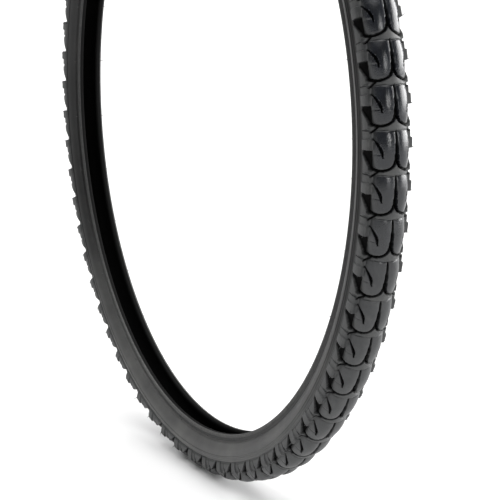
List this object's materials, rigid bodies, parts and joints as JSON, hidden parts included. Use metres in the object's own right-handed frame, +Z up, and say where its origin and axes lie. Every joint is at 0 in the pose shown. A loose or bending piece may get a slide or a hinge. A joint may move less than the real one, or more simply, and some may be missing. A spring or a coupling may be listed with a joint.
{
  "type": "bicycle tyre",
  "caption": "Knobbly clincher bicycle tyre, loose, with wire beads, bias plies and a directional tread of scale-shaped blocks.",
  "frame": {"origin": "centre of the wheel: on the axle line, in the tyre's centre plane", "axes": "+Z up, +Y along the axle to the wheel's left, +X forward; the wheel spins about +Y"},
  "size_m": [0.7158, 0.0436, 0.7158],
  "materials": {
    "tread_rubber": "moulded black tread rubber, satin",
    "sidewall_rubber": "smooth moulded black rubber, matt",
    "chafer_rubber": "moulded black rubber over fabric, matt",
    "filler_rubber": "hard black bead rubber",
    "cord_fabric": "rubbered nylon cord, black",
    "breaker_fabric": "rubbered woven strip",
    "bead_steel": "drawn steel wire, brass coated"
  },
  "bodies": {
    "root": {"bead_filler_left": "filler_rubber", "bead_filler_right": "filler_rubber", "bead_wire_left": "bead_steel", "bead_wire_right": "bead_steel", "breaker_strip": "breaker_fabric", "casing_ply_inner": "cord_fabric", "casing_ply_outer": "cord_fabric", "centre_blocks_left": "tread_rubber", "centre_blocks_right": "tread_rubber", "chafer_left": "chafer_rubber", "chafer_right": "chafer_rubber", "shoulder_knobs_long_left": "tread_rubber", "shoulder_knobs_long_right": "tread_rubber", "shoulder_knobs_short_left": "tread_rubber", "shoulder_knobs_short_right": "tread_rubber", "side_blocks_left": "tread_rubber", "side_blocks_right": "tread_rubber", "sidewall_left": "sidewall_rubber", "sidewall_right": "sidewall_rubber", "tread_base": "tread_rubber"}
  },
  "joints": []
}
